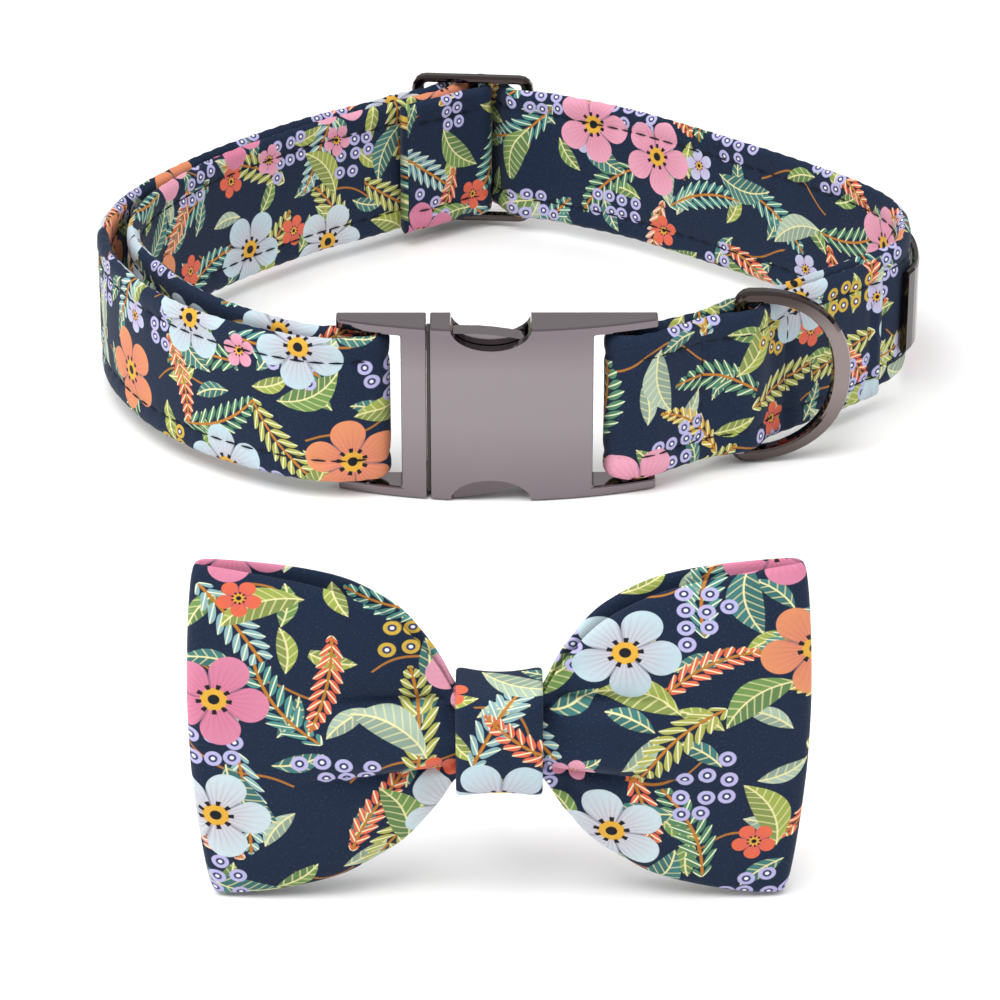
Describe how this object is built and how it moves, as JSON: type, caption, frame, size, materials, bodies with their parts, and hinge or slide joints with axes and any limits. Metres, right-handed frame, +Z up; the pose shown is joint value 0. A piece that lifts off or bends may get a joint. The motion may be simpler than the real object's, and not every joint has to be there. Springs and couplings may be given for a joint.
{
  "type": "pet bow tie collar",
  "caption": "Printed cloth pet collar with a metal side-release buckle, slider and D-ring, and a detachable cloth bow tie.",
  "frame": {"origin": "middle of the whole box, on the floor that the buckle stands on", "axes": "+X to the wearer's view right along the buckle, +Y from the bow and buckle to the slider at the back, +Z up across the strap's width"},
  "size_m": [0.1386, 0.2506, 0.049],
  "materials": {
    "printed_cloth": "woven cotton, printed with flowers on navy",
    "elastic": "dark braided elastic",
    "gunmetal": "polished, plated dark gunmetal"
  },
  "bodies": {
    "collar": {"strap": "printed_cloth", "buckle_housing": "gunmetal", "buckle_latch": "gunmetal", "slider": "gunmetal", "side_plate": "gunmetal", "bow_body": "printed_cloth", "bow_knot": "printed_cloth", "bow_keeper": "elastic"},
    "ring": {"d_ring": "gunmetal"}
  },
  "joints": [
    {"name": "ring_swing", "type": "hinge", "parent": "collar", "child": "ring", "pos_m": [0.03698, 0.01446, 0.0151], "axis": [0, 0, 1], "range_deg": [-110, 0]}
  ]
}
